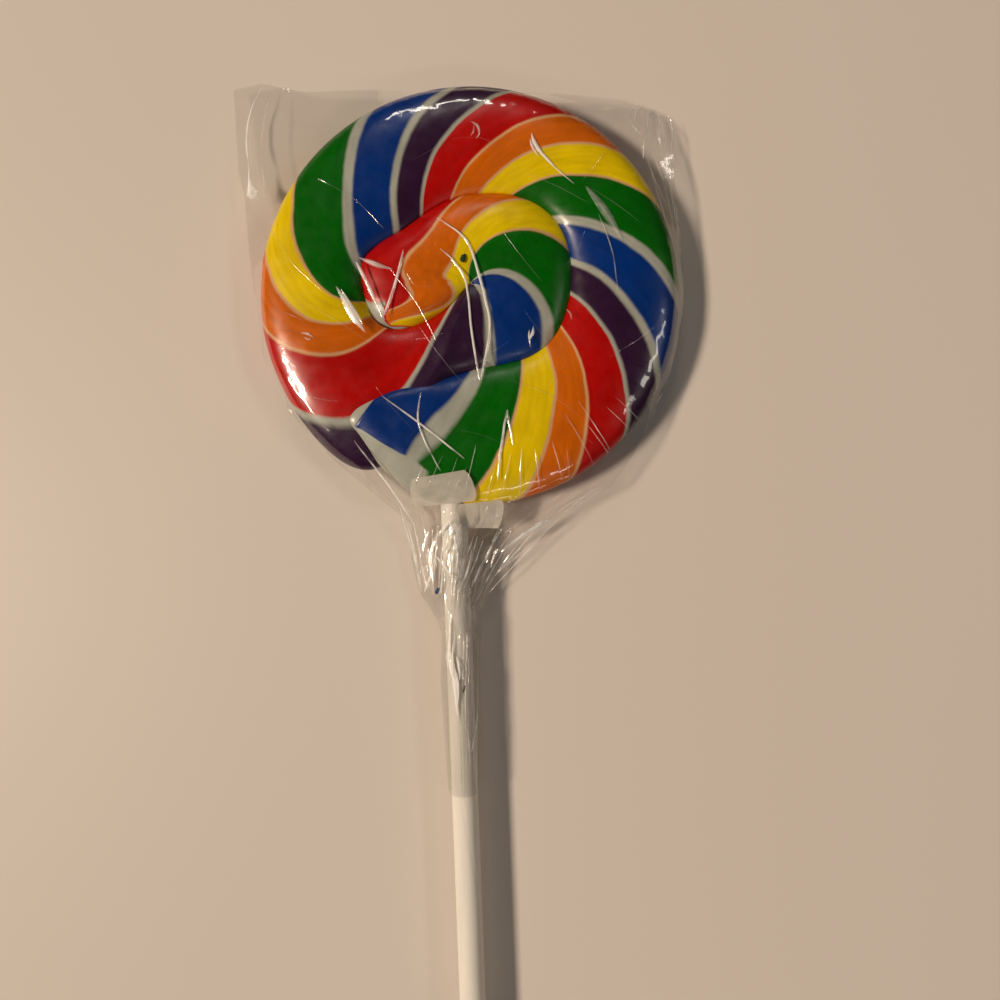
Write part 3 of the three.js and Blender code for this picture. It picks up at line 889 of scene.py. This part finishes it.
def neck_folds():
    """Gathers that fan out of the neck, and the pleats round the stick below it."""
    pick = np.random.RandomState(7)
    folds = []
    for k in range(NECK_FOLDS):
        share = (k + 0.2 + 0.6 * pick.rand()) / NECK_FOLDS
        top_y = -36 - 5 * pick.rand() - 5 * math.sin(math.pi * share)
        foot_y = -52 - 5 * pick.rand()
        x = [edge_x(LEFT_EDGE, y) * (1 - share) + edge_x(RIGHT_EDGE, y) * share for y in (top_y, foot_y)]
        bend = 0.8 * (pick.rand() - 0.5)
        half = 0.16 + 0.16 * pick.rand()
        middle = ((x[0] + x[1]) / 2 + bend, (top_y + foot_y) / 2, half * 1.3)
        folds.append((0.35 + 0.6 * pick.rand(), [(x[0], top_y, half * 0.6), middle, (x[1], foot_y, half)]))
    for k in range(SLEEVE_FOLDS):
        start = -53 - 26 * pick.rand()
        end = start - 5 - 8 * pick.rand()
        side = 2 * pick.rand() - 1
        turn = side + 0.3 * (pick.rand() - 0.5)
        half = 0.14 + 0.14 * pick.rand()
        reach = STICK_RADIUS - 0.3
        route = [(STICK_X + reach * side, start, half), (STICK_X + reach * turn, end, half * 0.7)]
        folds.append((0.2 + 0.5 * pick.rand(), route))
    return folds


def corner_folds():
    """Faint pleats that fan out of the pinched top corner and down the right margin."""
    pick = np.random.RandomState(12)
    folds = []
    for k in range(CORNER_FOLDS):
        share = (k + 0.6 * pick.rand()) / CORNER_FOLDS
        start = (TOP_PINCH[0] - 0.4 + 1.6 * share, TOP_PINCH[1] - 0.8, 0.12)
        middle = (TOP_PINCH[0] - 2.2 + 5.0 * share, TOP_PINCH[1] - 8 - 3 * pick.rand(), 0.22)
        foot_y = 16 - 14 * pick.rand()
        foot = (min(RIM + 0.6, edge_x(RIGHT_EDGE, foot_y) - 0.3) - 1.0 + 1.4 * share, foot_y, 0.15)
        folds.append((0.15 + 0.2 * pick.rand(), [start, middle, foot]))
    return folds


def head_folds():
    """Fine scratches and creases over the head, and pleats that gather towards the neck."""
    pick = np.random.RandomState(23)
    folds = []
    for k in range(HEAD_FOLDS):
        turn, out = 2 * math.pi * pick.rand(), (RIM - 5) * math.sqrt(pick.rand())
        heading = math.radians(-35 + 50 * (pick.rand() - 0.5) + (70 if pick.rand() > 0.6 else 0))
        length, bend = 5 + 11 * pick.rand(), 5 * (pick.rand() - 0.5)
        step = np.array([math.cos(heading), math.sin(heading)]) * length / 2
        centre = np.array([out * math.cos(turn), out * math.sin(turn)])
        ends = [centre - step, centre + np.array([-step[1], step[0]]) * bend / length, centre + step]
        folds.append((0.04 + 0.14 * pick.rand(), [(x, y, FOLD_LEAST) for x, y in ends]))
    for k in range(BOTTOM_FOLDS):
        clock = math.radians(215 + 75 * (k + 0.7 * pick.rand()) / BOTTOM_FOLDS)
        out, inner = RIM - 1 + 1.5 * pick.rand(), RIM - 5 - 6 * pick.rand()
        drift = 0.10 * (pick.rand() - 0.5) + 0.05
        start = (-inner * math.cos(clock), inner * math.sin(clock), 0.10)
        end = (-out * math.cos(clock + drift), out * math.sin(clock + drift), 0.16)
        folds.append((0.3 + 0.5 * pick.rand(), [start, end]))
    return folds


def fold_tent(white, route):
    """Points of one low tent of film on the upper film, and how far aside and how white each is (partly
    whitened film, partly a painted highlight).
    """
    length = np.linalg.norm(np.diff(route[:, :2], axis=0), axis=1).sum()
    rings = max(6, int(length / FOLD_STEP))
    fine = through(route, np.linspace(0, len(route) - 1, rings))
    x, y, half = fine.T
    ahead = np.gradient(fine[:, :2], axis=0)
    ahead /= np.linalg.norm(ahead, axis=1)[:, None]
    side = np.stack([-ahead[:, 1], ahead[:, 0]], 1)
    wave = 0.10 * (lattice_noise(x / 1.7 + 40, y / 1.7 + 60, 31) - 0.5)
    fade = np.sin(np.linspace(0.0, math.pi, rings)) ** 0.35
    half = np.maximum(half, FOLD_LEAST) * (0.25 + 0.75 * fade) * FOLD_WIDEN
    middle = fine[:, :2] + side * wave[:, None]
    flat = middle[:, None] + side[:, None] * (FOLD_ACROSS[None] * half[:, None])[..., None]
    slope = FOLD_SLOPE * (0.8 + 0.4 * lattice_noise(x / 2.3 + 20, y / 2.3 + 50, 32))
    z = film_top(flat[..., 0], flat[..., 1]) + 0.03 + FOLD_CREST[None] * (half * slope)[:, None]
    z = np.minimum(z, bag_high[2] - 0.02)
    uv = np.stack(np.broadcast_arrays(FOLD_ACROSS[None], white * fade[:, None]), 2)
    return np.dstack([flat, z]), uv


def make_folds():
    """All folds as one piece, with a UV that tells the shader how white each one is: partly whitened film,
    partly a painted highlight.
    """
    vertices, faces, uvs = [], [], []
    start = 0
    for white, route in FOLDS + neck_folds() + corner_folds() + head_folds():
        points, uv = fold_tent(white, np.array(route))
        faces += grid_faces(*points.shape[:2], start=start, flip=True)
        vertices.append(points.reshape(-1, 3))
        uvs.append(uv.reshape(-1, 2))
        start += len(vertices[-1])
    material = film_material("creased_film", 0.12, crease_whitening_and_painted_highlight)
    folds = mesh_object("film_folds", np.concatenate(vertices), faces, material)
    layer = folds.data.uv_layers.new(name="fold")
    loops = np.array(faces).ravel()
    layer.data.foreach_set("uv", np.concatenate(uvs)[loops].ravel())
    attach(folds, "root")


# ---------------------------------------------------------------- labels and marks

# Two small printed patches, left bare. Each is its four corners.
LABELS = {
    "label_left": [(-12.0, -33.0), (-1.3, -31.6), (0.4, -37.2), (-11.8, -38.0)],
    "label_right": [(-3.8, -37.8), (5.0, -37.2), (4.0, -42.4), (-3.0, -42.0)],
}


def label_material():
    """Thin white print that the candy shows through a little."""
    n = Nodes("label_ink")
    shader = n.add("ShaderNodeBsdfPrincipled", in_Roughness=0.4)
    paper = n.add("ShaderNodeValToRGB")
    paper.color_ramp.elements[0].color = linear(196, 190, 178)
    paper.color_ramp.elements[1].color = linear(226, 221, 210)
    n.join(n.noise(300, 3), paper.inputs[0])
    n.join(paper.outputs[0], shader.inputs["Base Color"])
    n.join(n.math("ADD", n.math("MULTIPLY", n.noise(700, 2), 0.3), 0.28), shader.inputs["Roughness"])
    clear = n.add("ShaderNodeBsdfTransparent")
    mix = n.add("ShaderNodeMixShader")
    n.join(n.math("ADD", n.math("MULTIPLY", n.noise(500, 3), 0.35), 0.55, clamp=True), mix.inputs[0])
    n.join(clear.outputs[0], mix.inputs[1])
    n.join(shader.outputs[0], mix.inputs[2])
    n.join(mix.outputs[0], n.out.inputs[0])
    return n.material


LABEL_KNOT = 8  # a label's rows and columns between two places where its height is taken


def spread_knots(knots, step):
    """Heights at every place, in straight lines between the heights at every step-th one."""
    def spread(values):
        places = np.arange((len(values) - 1) * step + 1) / step
        return np.interp(places, np.arange(len(values)), values)
    along = np.stack([spread(row) for row in knots])
    return np.stack([spread(column) for column in along.T], 1)


def make_labels():
    material = label_material()
    for name, corners in LABELS.items():
        a, b, c, d = np.array(corners)
        u, v = np.meshgrid(np.linspace(0, 1, 6 * LABEL_KNOT + 1), np.linspace(0, 1, 3 * LABEL_KNOT + 1))
        # The short ends are rounded off.
        trim = 0.07 * (2 * np.abs(v - 0.5)) ** 3
        u = trim + (1 - 2 * trim) * u
        flat = (a * (1 - v[..., None]) + d * v[..., None]) * (1 - u[..., None])
        flat += (b * (1 - v[..., None]) + c * v[..., None]) * u[..., None]
        # The print stiffens the film, which follows only the broad folds there.
        knots = film_top(flat[::LABEL_KNOT, ::LABEL_KNOT, 0], flat[::LABEL_KNOT, ::LABEL_KNOT, 1])
        z = spread_knots(knots, LABEL_KNOT)
        z = np.minimum(z + 0.10, bag_high[2] - 0.05)
        vertices = np.dstack([flat, z]).reshape(-1, 3)
        label = mesh_object(name, vertices, grid_faces(*u.shape, flip=True), material)
        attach(label, "root")


def mark_material(name, colour):
    n = Nodes(name)
    shader = n.add("ShaderNodeBsdfPrincipled", in_Roughness=0.5)
    ramp = n.add("ShaderNodeValToRGB")
    ramp.color_ramp.elements[0].color = [0.6 * c for c in colour[:3]] + [1]
    ramp.color_ramp.elements[1].color = colour
    n.join(n.noise(900, 3), ramp.inputs[0])
    n.join(ramp.outputs[0], shader.inputs["Base Color"])
    n.join(shader.outputs[0], n.out.inputs[0])
    return n.material


# Specks that lie on the film: middle, half length, half width, direction in degrees, colour.
SPECKS = {
    "speck_green": ((-0.8, 5.8), 0.75, 0.5, 70, (16, 52, 10)),
    "speck_blue": ((-7.9, -53.3), 0.7, 0.35, 60, (30, 60, 110)),
    "speck_black": ((-3.6, -70.8), 0.75, 0.13, 70, (24, 20, 18)),
}


def make_specks():
    """Each speck is a low mound with an uneven outline."""
    for name, (middle, half_length, half_width, degrees, colour) in SPECKS.items():
        turn = np.linspace(0, 2 * math.pi, 28, endpoint=False)
        rough = 1 + 0.35 * (lattice_noise(3 + 2 * np.cos(turn), 3 + 2 * np.sin(turn), 17) - 0.5)
        a = math.radians(degrees)
        rings = []
        for shrink, rise in ((1.0, 0.0), (0.92, 0.05), (0.7, 0.08), (0.35, 0.10), (0.02, 0.11)):
            along = half_length * shrink * rough * np.cos(turn)
            aside = half_width * shrink * rough * np.sin(turn)
            x = middle[0] + along * math.cos(a) - aside * math.sin(a)
            y = middle[1] + along * math.sin(a) + aside * math.cos(a)
            z = np.minimum(film_top(x, y) + 0.01 + rise, bag_high[2] - 0.01)
            rings.append(np.stack([x, y, z], 1))
        faces = grid_faces(len(rings), len(turn), closed=True)
        speck = mesh_object(name, np.concatenate(rings), faces, mark_material(name, linear(*colour)))
        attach(speck, "root")


make_camera()
make_floor()
make_light()
make_candy()
make_stick()
make_film(film_material("clear_film", 0.09))
make_folds()
make_labels()
make_specks()

scene = bpy.context.scene
scene.view_settings.view_transform = "Standard"
scene.cycles.transparent_max_bounces = 24
